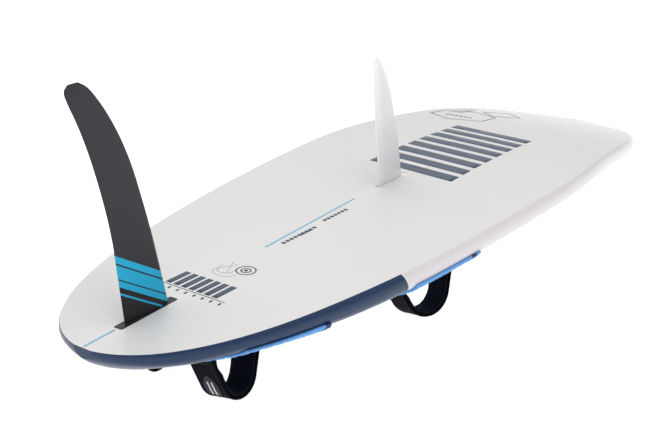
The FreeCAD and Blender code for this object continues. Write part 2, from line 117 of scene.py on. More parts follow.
class Shader:
    """A node material with short calls for the few nodes that the board needs."""

    def __init__(self, name, color, roughness, **sockets):
        self.material = bpy.data.materials.new(name)
        self.material.use_nodes = True
        self.tree = self.material.node_tree
        self.bsdf = self.tree.nodes["Principled BSDF"]
        self.put("Base Color", color)
        self.put("Roughness", roughness)
        for socket, value in sockets.items():
            self.put(socket.replace("_", " "), value)
        self.place = self.add("ShaderNodeTexCoord").outputs["Object"]

    def add(self, kind, **settings):
        node = self.tree.nodes.new(kind)
        for key, value in settings.items():
            setattr(node, key, value)
        return node

    def put(self, socket, value):
        """Set a shader socket, or link it when the value comes from another node."""
        self.feed(self.bsdf.inputs[socket], value)

    def feed(self, socket, value):
        if isinstance(value, bpy.types.NodeSocket):
            self.tree.links.new(value, socket)
        else:
            socket.default_value = value

    def math(self, operation, first, second=0.0):
        node = self.add("ShaderNodeMath", operation=operation)
        self.feed(node.inputs[0], first)
        self.feed(node.inputs[1], second)
        return node.outputs[0]

    def axes(self, source=None):
        node = self.add("ShaderNodeSeparateXYZ")
        self.feed(node.inputs[0], source or self.place)
        return node.outputs["X"], node.outputs["Y"], node.outputs["Z"]

    def stretched(self, scale):
        node = self.add("ShaderNodeMapping")
        self.feed(node.inputs["Vector"], self.place)
        node.inputs["Scale"].default_value = scale
        return node.outputs["Vector"]

    def noise(self, scale, detail=3.0, source=None):
        node = self.add("ShaderNodeTexNoise")
        self.feed(node.inputs["Vector"], source or self.place)
        node.inputs["Scale"].default_value = scale
        node.inputs["Detail"].default_value = detail
        return node.outputs["Fac"]

    def wave(self, scale, direction, distortion):
        node = self.add("ShaderNodeTexWave", bands_direction=direction)
        self.feed(node.inputs["Vector"], self.place)
        node.inputs["Scale"].default_value = scale
        node.inputs["Distortion"].default_value = distortion
        return node.outputs["Fac"]

    def steps(self, value, stops):
        """Flat colours that change at given values."""
        node = self.add("ShaderNodeValToRGB")
        node.color_ramp.interpolation = "CONSTANT"
        while len(node.color_ramp.elements) < len(stops):
            node.color_ramp.elements.new(1.0)
        for element, (position, color) in zip(node.color_ramp.elements, stops):
            element.position = position
            element.color = color
        self.feed(node.inputs["Fac"], value)
        return node.outputs["Color"]

    def mix(self, factor, first, second):
        node = self.add("ShaderNodeMix", data_type="RGBA")
        self.feed(node.inputs[0], factor)
        self.feed(node.inputs[6], first)
        self.feed(node.inputs[7], second)
        return node.outputs[2]

    def multiply(self, first, second):
        node = self.add("ShaderNodeMix", data_type="RGBA", blend_type="MULTIPLY")
        node.inputs[0].default_value = 1.0
        self.feed(node.inputs[6], first)
        self.feed(node.inputs[7], second)
        return node.outputs[2]

    def spread(self, value, low, high):
        """Map 0..1 noise to a range of a number."""
        node = self.add("ShaderNodeMapRange")
        self.feed(node.inputs["Value"], value)
        node.inputs["To Min"].default_value = low
        node.inputs["To Max"].default_value = high
        return node.outputs["Result"]

    def bump(self, height, strength, distance):
        node = self.add("ShaderNodeBump")
        self.feed(node.inputs["Height"], height)
        node.inputs["Strength"].default_value = strength
        node.inputs["Distance"].default_value = distance
        self.put("Normal", node.outputs["Normal"])


# ---------------------------------------------------------------- materials

WHITE = srgb(213, 212, 211)
# The rail's white is the same paint as the bottom's, set darker and a little lilac as painted shade on
# the rail's sides.
SHADED_RAIL_WHITE = srgb(206, 202, 206)
NAVY = srgb(20, 45, 78)
SKY = srgb(98, 156, 214)
CYAN = srgb(20, 164, 205)
INK = srgb(40, 62, 84)


def laminate(name, flat_color):
    """Painted hull: flat colour on the bottom, navy then white round the rail; the rail's white is the
    bottom's white set darker and a little lilac as painted shade.
    """
    s = Shader(name, flat_color, 0.3, Specular_IOR_Level=0.3, Coat_Weight=0.04, Coat_Roughness=0.12)
    x, _, z = s.axes()
    normal = s.add("ShaderNodeNewGeometry").outputs["Normal"]
    up = s.axes(normal)[2]
    down = s.math("SUBTRACT", FLAT_Z, z)
    edge = s.math("SUBTRACT", x, s.math("MULTIPLY", down, NAVY_SLANT))
    navy = s.math("LESS_THAN", edge, NAVY_END)
    rail = s.math("LESS_THAN", up, RAIL_START)
    grain = s.noise(9.0, 4.0)
    blotch = s.spread(grain, 0.985, 1.0)
    # Navy paint aft; forward of it, the rail's white with its painted shade.
    paint = s.mix(navy, SHADED_RAIL_WHITE, NAVY)
    color = s.mix(rail, flat_color, paint)
    s.put("Base Color", s.multiply(color, blotch))
    s.put("Roughness", s.spread(s.noise(35.0, 5.0), 0.26, 0.36))
    fine = s.noise(1400.0, 2.0)
    s.bump(fine, 0.08, 0.0003)
    return s.material


def plain(name, color, roughness, grain=900.0, depth=0.0002, strength=0.25, **sockets):
    """Moulded plastic: fine grain and slightly uneven gloss and colour."""
    s = Shader(name, color, roughness, **sockets)
    cloud = s.noise(60.0, 4.0)
    darker = tuple(0.86 * c for c in color[:3]) + (1.0,)
    s.put("Base Color", s.mix(cloud, darker, color))
    s.put("Roughness", s.spread(cloud, max(0.03, roughness - 0.06), roughness + 0.08))
    s.bump(s.noise(grain, 3.0), strength, depth)
    return s.material


def brushed(name, color, roughness):
    """Metal with fine turning marks."""
    s = Shader(name, color, roughness, Metallic=1.0)
    marks = s.noise(260.0, 3.0, s.stretched((1.0, 1.0, 14.0)))
    s.put("Roughness", s.spread(marks, roughness - 0.08, roughness + 0.14))
    s.bump(marks, 0.15, 0.0002)
    return s.material


def woven(name, color, pitch, roughness=0.85, lift=0.0004):
    """Two crossed sets of threads, their tops painted lighter than the gaps between them as painted
    highlight and shade.
    """
    s = Shader(name, color, roughness, Specular_IOR_Level=0.06, Sheen_Weight=0.01, Sheen_Roughness=0.4)
    wobble = 0.6
    across = s.wave(1 / pitch, "X", wobble)
    along = s.wave(1 / pitch, "Z", wobble)
    sideways = s.wave(1 / pitch, "Y", wobble)
    threads = s.math("MULTIPLY", s.math("MAXIMUM", across, along), s.math("MAXIMUM", sideways, along))
    # Painted highlight on the threads' tops: a lighter copy of the colour where the weave stands highest,
    # leaving painted shade in the gaps.
    lit_thread_color = tuple(min(1.0, 1.5 * c + 0.001) for c in color[:3]) + (1.0,)
    s.put("Base Color", s.mix(s.math("MULTIPLY", threads, 0.7), color, lit_thread_color))
    s.put("Roughness", s.spread(s.noise(80.0), roughness - 0.1, min(1.0, roughness + 0.1)))
    s.bump(threads, 0.5, lift)
    return s.material


def fin_black():
    """Moulded carbon fin with the sloping colour band near its root."""
    s = Shader("fin_black", srgb(44, 45, 50), 0.42, Specular_IOR_Level=0.25)
    x, _, z = s.axes()
    from_box = s.math("SUBTRACT", x, MAIN_FIN_X)
    height = s.math("SUBTRACT", z, FLAT_Z)
    band_slope = 0.64
    level = s.math("ADD", height, s.math("MULTIPLY", from_box, band_slope))
    black = srgb(26, 26, 29)
    body = srgb(42, 43, 48)
    stops = [(0.0, black), (0.0220, CYAN), (0.0265, black), (0.0382, CYAN), (0.0520, black),
             (0.0550, CYAN), (0.0825, black), (0.0855, CYAN), (0.1005, body)]
    # A colour ramp has 256 steps, so the band is stretched over them to keep its thin lines.
    zoom = 8.0
    color = s.steps(s.math("MULTIPLY", level, zoom), [(zoom * at, paint) for at, paint in stops])
    cloud = s.noise(45.0, 5.0)
    s.put("Base Color", s.multiply(color, s.spread(cloud, 0.86, 1.0)))
    s.put("Roughness", s.spread(cloud, 0.36, 0.52))
    s.bump(s.noise(1100.0, 2.0), 0.22, 0.0002)
    return s.material


def fin_white():
    """Milled glass laminate: cloudy grey where thick, lighter at the thin edges."""
    s = Shader("fin_white", srgb(218, 219, 221), 0.28, Coat_Weight=0.3, Coat_Roughness=0.15)
    _, y, _ = s.axes()
    thin_half = 0.0026
    thin = s.math("SUBTRACT", 1.0, s.math("MULTIPLY", s.math("ABSOLUTE", y), 1 / thin_half))
    edge = s.math("MAXIMUM", s.math("MINIMUM", thin, 1.0), 0.0)
    fibres = s.noise(420.0, 3.0, s.stretched((1.0, 1.0, 0.15)))
    core = s.mix(fibres, srgb(213, 214, 217), srgb(217, 218, 220))
    s.put("Base Color", s.mix(edge, core, srgb(240, 240, 241)))
    s.put("Roughness", s.spread(fibres, 0.27, 0.31))
    s.bump(fibres, 0.01, 0.0001)
    return s.material


PAD_FRONTS = (TAIL_X + 0.406, TAIL_X + 0.887)
INLAY_EDGE = 0.012                   # from a pad's front to its dark inlaid band
INLAY_WIDTH = 0.020


def eva():
    """Closed-cell foam with tiny open pores, and a darker inlaid band near the front of each pad."""
    s = Shader("eva_pad", SKY, 0.85, Specular_IOR_Level=0.3, Sheen_Weight=0.05)
    pores = s.add("ShaderNodeTexVoronoi")
    s.feed(pores.inputs["Vector"], s.place)
    pores.inputs["Scale"].default_value = 700.0
    cell = pores.outputs["Distance"]
    x, _, _ = s.axes()
    color = s.mix(s.noise(30.0, 4.0), srgb(82, 138, 198), srgb(104, 162, 220))
    for front in PAD_FRONTS:
        far = s.math("LESS_THAN", x, front - INLAY_EDGE)
        near = s.math("GREATER_THAN", x, front - INLAY_EDGE - INLAY_WIDTH)
        color = s.mix(s.math("MULTIPLY", far, near), color, srgb(30, 48, 92))
    s.put("Base Color", color)
    s.put("Roughness", s.spread(cell, 0.75, 0.95))
    s.bump(cell, 0.5, 0.0006)
    return s.material


STRAPS = [station + "_" + side for station in ("rear", "front") for side in ("left", "right")]

materials = {
    "foam": plain("core_foam", srgb(236, 236, 232), 0.9, grain=500.0, depth=0.0008),
    "bottom": laminate("bottom_laminate", WHITE),
    "deck": laminate("deck_laminate", WHITE),
    "fin_black": fin_black(),
    "fin_white": fin_white(),
    "box_black": plain("box_black", srgb(34, 34, 38), 0.5),
    "box_white": plain("box_white", srgb(226, 225, 224), 0.35),
    "brass": brushed("brass", (0.72, 0.52, 0.22, 1.0), 0.3),
    "stainless": brushed("stainless", (0.60, 0.61, 0.63, 1.0), 0.28),
    "tray": plain("tray", srgb(52, 53, 58), 0.55),
    "aluminium": brushed("track_aluminium", (0.66, 0.67, 0.69, 1.0), 0.35),
    "vent": plain("vent_plastic", srgb(38, 38, 42), 0.45),
    "membrane": woven("vent_membrane", srgb(224, 224, 224), 0.0006),
    "rubber": plain("seal_rubber", srgb(12, 12, 14), 0.75, Specular_IOR_Level=0.1),
    "neoprene": woven("neoprene", srgb(10, 10, 20), 0.0012, 0.75, 0.0003),
    "webbing": woven("webbing", srgb(10, 10, 13), 0.0022),
    "cover": woven("strap_cover", srgb(10, 10, 17), 0.0018, 0.8),
    "plate": plain("strap_plate", srgb(24, 24, 26), 0.5),
    "insert": plain("insert_plastic", srgb(205, 205, 200), 0.6),
    "eva": eva(),
}

NODE_LOOKS = {
    "foam_core": "foam",
    "bottom_skin": "bottom",
    "deck_skin": "deck",
    "main_fin_box": "box_black",
    "main_fin_head": "box_black",
    "main_fin_blade": "fin_black",
    "centre_fin_box": "box_white",
    "centre_fin_head": "box_white",
    "centre_fin_blade": "fin_white",
    "main_fin_nut": "brass",
    "centre_fin_nut": "brass",
    "main_fin_washer": "stainless",
    "main_fin_bolt": "stainless",
    "centre_fin_washer": "stainless",
    "centre_fin_bolt": "stainless",
    "mast_track_box": "tray",
    "mast_track_channel": "aluminium",
    "vent_body": "vent",
    "vent_membrane": "membrane",
    "vent_seal": "rubber",
    "vent_screw": "brass",
}
for strap in STRAPS:
    NODE_LOOKS["strap_liner_" + strap] = "neoprene"
    NODE_LOOKS["strap_webbing_" + strap] = "webbing"
    NODE_LOOKS["strap_cover_" + strap] = "cover"
    NODE_LOOKS["strap_plates_" + strap] = "plate"
    NODE_LOOKS["strap_screws_" + strap] = "stainless"
    NODE_LOOKS["strap_inserts_" + strap] = "insert"
    NODE_LOOKS["deck_pad_" + strap] = "eva"

for node, look in NODE_LOOKS.items():
    nodes[node].data.materials.clear()
    nodes[node].data.materials.append(materials[look])


# ---------------------------------------------------------------- deck pads

GROOVE_PITCH = 0.033
GROOVE_HALF = 0.0035
GROOVE_DEPTH = 0.0022
PAD_VOXEL = 0.003
EDGE_FACING = 0.25                   # grooves start where the foam faces down more than this
GROOVE_ONSET = 1.6                   # and reach full depth at this rate


def groove_depth(x, y):
    """Depth of the diamond grooves at a point of the plan."""
    depth = 0.0
    for line in ((x + y) / GROOVE_PITCH, (x - y) / GROOVE_PITCH):
        away = abs(line - round(line)) * GROOVE_PITCH / math.sqrt(2)
        if away < GROOVE_HALF:
            depth = max(depth, GROOVE_DEPTH * (0.5 + 0.5 * math.cos(math.pi * away / GROOVE_HALF)))
    return depth


def remeshed(name, source, voxel):
    """A new object: the node's solid rebuilt as an even mesh with softened edges."""
    copy = bpy.data.objects.new(name, source.data.copy())
    bpy.context.collection.objects.link(copy)
    remesh = copy.modifiers.new("even", "REMESH")
    remesh.mode = "VOXEL"
    remesh.voxel_size = voxel
    remesh.use_smooth_shade = True
    depsgraph = bpy.context.evaluated_depsgraph_get()
    even = bpy.data.meshes.new_from_object(copy.evaluated_get(depsgraph))
    copy.modifiers.clear()
    copy.data = even
    return copy


def deck_pad(place):
    """EVA foam pad: soft edges and diamond grooves pressed into the side that feet touch."""
    node = "deck_pad_" + place
    pad = remeshed("pad_" + place, nodes[node], PAD_VOXEL)
    mesh = pad.data
    moved = []
    for vertex in mesh.vertices:
        facing = max(0.0, -vertex.normal.z - EDGE_FACING) / (1 - EDGE_FACING)
        step = groove_depth(vertex.co.x, vertex.co.y) * min(1.0, GROOVE_ONSET * facing)
        moved.append(vertex.co - vertex.normal * step)
    for vertex, co in zip(mesh.vertices, moved):
        vertex.co = co
    attach(pad, "eva_pad", materials["eva"], node)


# ---------------------------------------------------------------- footstraps

# Half span at the deck and crown radius of the outer face of each pair of straps.
STRAP_FORMS = {"rear": (0.080, 0.051), "front": (0.092, 0.066)}
STRAP_LIFT = 0.003                   # the laminate lies this far under the straps' webbing
COVER_WALL = 0.003
WEB_WALL = 0.0025
LINER_WALL = 0.0090
STRAP_STEPS = 56
PLATE_FACING = 0.85                  # faces of the plates that look down at least this much


def lofted(name, rings):
    """Quads between rings of equal length, closed at both ends."""
    count = len(rings[0])
    points = [point for ring in rings for point in ring]
    faces = []
    for index in range(len(rings) - 1):
        low_ring, high_ring = index * count, (index + 1) * count
        for k in range(count):
            nxt = (k + 1) % count
            faces.append((low_ring + k, low_ring + nxt, high_ring + nxt, high_ring + k))
    faces.append(tuple(reversed(range(count))))
    faces.append(tuple(range(len(points) - count, len(points))))
    obj = mesh_object(name, points, faces)
    soften(obj, 60)
    return obj


class StrapFrame:
    """The deck frame of one footstrap, measured on its CAD nodes."""

    def __init__(self, strap):
        plates = nodes["strap_plates_" + strap].data
        points = [vertex.co for vertex in plates.vertices]
        middle = sum((p.x for p in points)) / len(points)
        ends = []
        for keep in (lambda p: p.x < middle, lambda p: p.x >= middle):
            chosen = [p for p in points if keep(p)]
            ends.append(sum(chosen, Vector()) / len(chosen))
        normal = Vector()
        for face in plates.polygons:
            if face.normal.z < -PLATE_FACING:
                normal += face.normal * face.area
        self.normal = normal.normalized()
        ahead = ends[1] - ends[0]
        self.ahead = (ahead - self.normal * ahead.dot(self.normal)).normalized()
        self.across = self.normal.cross(self.ahead)
        self.origin = (ends[0] + ends[1]) / 2
        foot = self.extent("strap_webbing_" + strap)[0][2]
        self.origin = self.origin + self.normal * (foot - STRAP_LIFT)
        low, high = self.extent("strap_cover_" + strap)
        self.width = high[1] - low[1]
        self.cover_start = low[2]
        self.foot_reach = self.extent("strap_webbing_" + strap)[1][0]
        half, self.radius = STRAP_FORMS[strap.split("_")[0]]
        self.centre = high[2] - self.radius
        self.lean = math.acos(self.radius / math.hypot(half, self.centre)) - math.atan2(self.centre, half)

    def local(self, point):
        offset = point - self.origin
        return (offset.dot(self.ahead), offset.dot(self.across), offset.dot(self.normal))

    def world(self, x, y, z):
        return self.origin + self.ahead * x + self.across * y + self.normal * z

    def extent(self, node):
        local = [self.local(vertex.co) for vertex in nodes[node].data.vertices]
        low = [min(p[i] for p in local) for i in range(3)]
        high = [max(p[i] for p in local) for i in range(3)]
        return low, high

    def touch(self, inset):
        """Where the forward leg runs into the crown."""
        radius = self.radius - inset
        return radius * math.cos(self.lean), self.centre + radius * math.sin(self.lean)

    def leg_x(self, inset, height):
        x, z = self.touch(inset)
        return x + math.tan(self.lean) * (z - height)

    def path(self, part, inset, start):
        """Point and outward direction in the strap's plane, from the aft leg to the forward one."""
        radius = self.radius - inset
        leg = (self.touch(inset)[1] - start) / math.cos(self.lean)
        arc = (math.pi - 2 * self.lean) * radius
        run = part * (2 * leg + arc)
        side = -1 if run < leg else 1
        if leg <= run <= leg + arc:
            angle = math.pi - self.lean - (run - leg) / radius
            return ((radius * math.cos(angle), self.centre + radius * math.sin(angle)),
                    (math.cos(angle), math.sin(angle)))
        height = start + math.cos(self.lean) * min(run, 2 * leg + arc - run)
        out = (side * math.cos(self.lean), math.sin(self.lean))
        return (side * self.leg_x(inset, height), height), out


def band_rings(strap, inset, start, profile):
    """Rings of a band: the profile gives (across, inwards) points for each part of the path."""
    rings = []
    for step in range(STRAP_STEPS + 1):
        part = step / STRAP_STEPS
        (x, z), (out_x, out_z) = strap.path(part, inset, start)
        ring = []
        for across, inwards in profile(part):
            ring.append(strap.world(x - out_x * inwards, across, z - out_z * inwards))
        rings.append(ring)
    return rings


def rounded_section(width, thick, ridge=0.0, square=0.35, count=28):
    """A flat section with round edges, and ridges along the inner side: one in the middle, two lower."""
    crown_power = 0.6
    middle_half, side_half = 0.006, 0.004
    side_share, side_place = 0.35, 0.42
    points = []
    for k in range(count):
        angle = 2 * math.pi * k / count
        c, s = math.cos(angle), math.sin(angle)
        across = width / 2 * math.copysign(abs(c) ** square, c)
        inwards = thick / 2 + thick / 2 * math.copysign(abs(s) ** crown_power, s)
        if s > 0:
            aside = abs(across) - side_place * width
            inwards += ridge * math.exp(-(across / middle_half) ** 2)
            inwards += side_share * ridge * math.exp(-(aside / side_half) ** 2)
        points.append((across, inwards))
    return points


def smooth_step(low, high, value):
    t = max(0.0, min(1.0, (value - low) / (high - low)))
    return t * t * (3 - 2 * t)


def strap_liner(name, strap):
    """Neoprene liner with flared ends, squeezed where the cover begins."""
    flare_end = 0.10
    squeeze_at, squeeze_half = 0.13, 0.035
    swell = 0.0022
    widening, narrowing = 0.06, 0.05

    def profile(part):
        from_end = min(part, 1 - part)
        flare = 1 - smooth_step(0.0, flare_end, from_end)
        squeeze = math.exp(-((from_end - squeeze_at) / squeeze_half) ** 2)
        ripple = 0.0004 * math.sin(41 * part) + 0.0003 * math.sin(97 * part + 1.3)
        thick = LINER_WALL + swell * flare - swell * squeeze + ripple
        width = strap.width * (1.0 + widening * flare - narrowing * squeeze)
        return rounded_section(width, thick, ridge=0.0016)
    inset = COVER_WALL + WEB_WALL
    liner = lofted("strap_padding_" + name, band_rings(strap, inset, STRAP_LIFT + 0.0005, profile))
    attach(liner, "neoprene", materials["neoprene"], "strap_liner_" + name)


def strap_webbing(name, strap):
    """Woven band that runs through the strap and turns out flat under its screws."""
    width_share = 0.42
    wall = WEB_WALL
    inset = COVER_WALL + wall / 2
    foot = STRAP_LIFT + 0.0002 + wall / 2
    bend = 0.008
    bend_steps = 6
    crown_steps = 44
    ends = []
    for end in (-1, 1):
        leg = [(end * strap.foot_reach, foot)]
        corner = strap.leg_x(inset, foot)
        above = strap.leg_x(inset, foot + bend)
        for k in range(bend_steps + 1):
            t = k / bend_steps
            reach = (1 - t) ** 2 * (corner + bend) + 2 * t * (1 - t) * corner + t ** 2 * above
            leg.append((end * reach, foot + bend * t ** 2))
        ends.append(leg)
    crown = [strap.path(k / crown_steps, inset, foot + bend)[0] for k in range(1, crown_steps)]
    route = ends[0] + crown + list(reversed(ends[1]))
    half = strap.width * width_share
    rings = []
    for index, (x, z) in enumerate(route):
        before = route[max(index - 1, 0)]
        after = route[min(index + 1, len(route) - 1)]
        along = Vector((after[0] - before[0], after[1] - before[1])).normalized()
        side = Vector((-along.y, along.x)) * (wall / 2)
        ring = []
        for across, push in ((-half, 1), (-half, -1), (0, -1), (half, -1), (half, 1), (0, 1)):
            ring.append(strap.world(x + side.x * push, across, z + side.y * push))
        rings.append(ring)
    band = lofted("strap_band_" + name, rings)
    attach(band, "webbing", materials["webbing"], "strap_webbing_" + name)


def strap_cover(name, strap):
    """Outer wrap with bound edges, and a raised lip where its flap closes."""
    lip_end, lip_rise = 0.035, 0.0006
    overhang, lip_overhang = 1.03, 0.03
    binding_half, binding_rise = 0.0035, 0.0009

    def profile(part):
        from_end = min(part, 1 - part)
        lip = 1 - smooth_step(0.0, lip_end, from_end)
        width = strap.width * (overhang + lip_overhang * lip)
        thick = COVER_WALL + lip_rise * lip
        points = []
        for across, inwards in rounded_section(width, thick, square=0.22):
            bound = math.exp(-((abs(across) - width / 2) / binding_half) ** 2)
            points.append((across, inwards + binding_rise * bound * (1 if inwards > thick / 2 else -1)))
        return points
    cover = lofted("strap_wrap_" + name, band_rings(strap, 0.0, strap.cover_start, profile))
    attach(cover, "strap_cover", materials["cover"], "strap_cover_" + name)


def strap_end_boot(name, strap, end):
    """Moulded rubber collar that hugs the leg and tapers over the screws."""
    overlap = 0.001
    outer = strap.foot_reach + overlap
    inner = strap.leg_x(COVER_WALL, STRAP_LIFT) - overlap
    collar, toe, belly, lip = 0.0165, 0.0095, 0.0015, 0.0065
    root_width, taper = 1.06, 0.10
    steps, sectors = 8, 19
    rings = []
    for step in range(steps + 1):
        t = step / steps
        height = collar * (1 - t) ** 1.6 + toe + belly * math.sin(math.pi * t)
        if step == steps:
            height = lip
        half = strap.width / 2 * (root_width - taper * t ** 3)
        ring = []
        for k in range(sectors + 1):
            angle = math.pi * k / sectors
            c, s = math.cos(angle), math.sin(angle)
            z = STRAP_LIFT + (height - STRAP_LIFT) * abs(s) ** 0.5
            x = inner + (outer - inner) * t - math.tan(strap.lean) * (z - STRAP_LIFT) * (1 - t)
            ring.append(strap.world(end * x, half * math.copysign(abs(c) ** 0.3, c), z))
        rings.append(ring)
    boot = lofted("strap_boot_%s_%s" % (name, "fore" if end > 0 else "aft"), rings)
    attach(boot, "seal_rubber", materials["rubber"])


def strap_patch(name, strap):
    """Grey mesh panel with two pale bars: on the aft leg at the rear, on the other in front."""
    flipped = name.startswith("front")
    rows, columns = 24, 6

    def sheet(label, low, high, edges, lift, material):
        points, faces = [], []
        for step in range(rows + 1):
            t = step / rows
            part = low + (high - low) * t
            x, z = strap.path(1 - part if flipped else part, -lift, strap.cover_start)[0]
            near, far = edges(t)
            for k in range(columns + 1):
                across = near + (far - near) * k / columns
                points.append(strap.world(x, across, z))
        ahead = columns + 1
        for index in range(rows):
            for k in range(columns):
                a = index * ahead + k
                faces.append((a, a + 1, a + ahead + 1, a + ahead))
        obj = mesh_object(label + "_" + name, points, faces)
        wall = obj.modifiers.new("thickness", "SOLIDIFY")
        wall.thickness = 0.0004
        attach(obj, "strap_cover", material)

    span = strap.width * 0.33
    panel_lift, bar_lift = 0.0007, 0.0012
    bar_low, bar_high = 0.19, 0.32
    bar_inner, bar_outer = 0.18, 0.36

    def lens(t):
        bulge = span * math.sin(math.pi * t) ** 0.7
        return -bulge, bulge

    def straight(low, high):
        return lambda t: (span * low, span * high)

    sheet("strap_panel", 0.13, 0.38, lens, panel_lift, materials["panel"])
    sheet("strap_bar_a", bar_low, bar_high, straight(bar_inner, bar_outer), bar_lift, materials["pale"])
    sheet("strap_bar_b", bar_low, bar_high, straight(-bar_outer, -bar_inner), bar_lift, materials["pale"])


def strap_stitches(name, strap):
    """Two rows of thread dashes along the cover's edges."""
    count = 46
    dash_first, dash_last = 0.15, 0.80
    end_gap = 0.03
    row_share = 0.455
    thread_radius = 0.0005
    sides = 6
    points, faces = [], []
    for row in (-1, 1):
        across = row * strap.width * row_share
        for k in range(count):
            for reached in ((k + dash_first) / count, (k + dash_last) / count):
                part = end_gap + (1 - 2 * end_gap) * reached
                (x, z), (out_x, out_z) = strap.path(part, -thread_radius, strap.cover_start)
                for side in range(sides):
                    angle = 2 * math.pi * side / sides
                    push = thread_radius * math.sin(angle)
                    aside = across + thread_radius * math.cos(angle)
                    points.append(strap.world(x + out_x * push, aside, z + out_z * push))
            base = len(points) - 2 * sides
            for side in range(sides):
                nxt = (side + 1) % sides
                faces.append((base + side, base + nxt, base + sides + nxt, base + sides + side))
            faces.append(tuple(base + side for side in reversed(range(sides))))
            faces.append(tuple(base + sides + side for side in range(sides)))
    thread = mesh_object("strap_thread_" + name, points, faces)
    attach(thread, "webbing", materials["thread"])


materials["panel"] = woven("strap_panel", srgb(58, 58, 64), 0.0026, 0.8, 0.0005)
materials["pale"] = plain("strap_print", srgb(214, 212, 208), 0.6, grain=1500.0)
materials["thread"] = woven("strap_thread", srgb(52, 52, 64), 0.0006, 0.7, 0.0001)

for place in STRAPS:
    deck_pad(place)
    strap = StrapFrame(place)
    strap_liner(place, strap)
    strap_webbing(place, strap)
    strap_cover(place, strap)
    strap_patch(place, strap)
    strap_stitches(place, strap)
    strap_end_boot(place, strap, -1)
    strap_end_boot(place, strap, 1)


# ---------------------------------------------------------------- printed shapes on the bottom

BOTTOM = BVHTree.FromObject(nodes["bottom_skin"], bpy.context.evaluated_depsgraph_get())
FILM_LIFT = 0.0004
FILM_CELL = 0.02
FILM_WALL = 0.0003


def film(name, outlines, material):
    """Thin printed film: plan outlines cut into cells and laid on the bottom skin."""
    bm = bmesh.new()
    for outline in outlines:
        corners = [bm.verts.new((TAIL_X + x, y, 0.0)) for x, y in outline]
        bm.faces.new(corners)
    spread_x = [v.co.x for v in bm.verts]
    spread_y = [v.co.y for v in bm.verts]
    for axis, values in ((0, spread_x), (1, spread_y)):
        position = min(values) + FILM_CELL
        while position < max(values):
            point, normal = Vector(), Vector()
            point[axis], normal[axis] = position, 1.0
            everything = bm.verts[:] + bm.edges[:] + bm.faces[:]
            bmesh.ops.bisect_plane(bm, geom=everything, plane_co=point, plane_no=normal)
            position += FILM_CELL
    for vertex in bm.verts:
        hit = BOTTOM.ray_cast(Vector((vertex.co.x, vertex.co.y, 1.0)), Vector((0, 0, -1)))[0]
        vertex.co.z = (hit.z if hit else FLAT_Z) + FILM_LIFT
    bmesh.ops.recalc_face_normals(bm, faces=bm.faces)
    for face in bm.faces:
        face.smooth = True
        if face.normal.z < 0:
            face.normal_flip()
    mesh = bpy.data.meshes.new(name)
    bm.to_mesh(mesh)
    bm.free()
    obj = bpy.data.objects.new(name, mesh)
    bpy.context.collection.objects.link(obj)
    wall = obj.modifiers.new("thickness", "SOLIDIFY")
    wall.thickness = FILM_WALL
    attach(obj, "bottom_laminate", material)


def bar(x_low, x_high, y_low, y_high, slant=0.0):
    """A plan parallelogram whose forward end is shifted sideways by slant."""
    return [(x_low, y_low), (x_high, y_low + slant), (x_high, y_high + slant), (x_low, y_high)]


def ring_sectors(x, y, outer, wall, count=32):
    """An annulus as quads."""
    quads = []
    for k in range(count):
        a, b = 2 * math.pi * k / count, 2 * math.pi * (k + 1) / count
        inner = outer - wall
        quads.append([(x + outer * math.cos(a), y + outer * math.sin(a)),
                      (x + outer * math.cos(b), y + outer * math.sin(b)),
                      (x + inner * math.cos(b), y + inner * math.sin(b)),
                      (x + inner * math.cos(a), y + inner * math.sin(a))])
    return quads


def print_film(name, color):
    return plain(name, color, 0.32, grain=1200.0, strength=0.1, Coat_Weight=0.25, Coat_Roughness=0.12)


def slat(x_low, x_high, y_low, y_high, lean):
    """A plan parallelogram that runs across the board, its left end moved forwards by lean."""
    return [(x_low, y_low), (x_high, y_low), (x_high + lean, y_high), (x_low + lean, y_high)]


def strip(points, wall):
    """A thin line through plan points, as one quad for each stretch."""
    quads = []
    for (ax, ay), (bx, by) in zip(points, points[1:]):
        along = Vector((bx - ax, by - ay)).normalized() * wall / 2
        quads.append([(ax - along.y, ay + along.x), (ax + along.y, ay - along.x),
                      (bx + along.y, by - along.x), (bx - along.y, by + along.x)])
    return quads


def arc(x, y, radius, first, last, count=14):
    turns = [math.radians(first + (last - first) * k / count) for k in range(count + 1)]
    return [(x + radius * math.cos(a), y + radius * math.sin(a)) for a in turns]


def tail_prints(ink, slate, grey):
    """Small bars over a ruled line, a ringed badge and fine lines, ahead of the main fin."""
    bar_pitch, bar_width, bar_top = 0.0205, 0.014, 0.066
    tops = [bar_top - k * bar_pitch for k in range(7)]
    film("small_bars", [bar(0.291, 0.352, top - bar_width, top, -0.003) for top in tops], ink)
    tick_start, tick_pitch, tick_width = -0.094, 0.022, 0.005
    scale = [bar(0.2845, 0.2865, -0.096, 0.074)]
    for k in range(8):
        y = tick_start + k * tick_pitch
        scale.append(bar(0.270, 0.279, y, y + tick_width))
    film("scale_line", scale, ink)
    badge_x, badge_y, dot_half = 0.428, -0.037, 0.004
    badge = ring_sectors(badge_x, badge_y, 0.0225, 0.0028) + ring_sectors(badge_x, badge_y, 0.012, 0.003)
    badge += [bar(badge_x - dot_half, badge_x + dot_half, badge_y - dot_half, badge_y + dot_half)]
    film("round_badge", badge, slate)
    line = 0.0012
    rose = strip(arc(0.408, -0.004, 0.032, 110, 250), line)
    rose += strip(arc(0.410, 0.002, 0.020, 60, 300), line)
    rose += strip([(0.396, 0.022), (0.442, -0.004)], line)
    rose += strip([(0.392, -0.012), (0.446, 0.012)], line)
    film("line_rose", rose, grey)


def middle_prints(ink):
    """Two rows of dashes beside the centre line."""
    pitch, length, width = 0.0142, 0.0095, 0.0095
    start_y, drift = -0.0100, 0.0007
    dashes = []
    for first, count in ((0.588, 9), (0.754, 7)):
        for k in range(count):
            x = first + k * pitch
            y = start_y - drift * k
            dashes.append(bar(x, x + length, y - width, y, -0.0005))
    film("dash_row", dashes, ink)
    film("dash_plate", [bar(0.652, 0.692, -0.0235, -0.0175, -0.002)], ink)


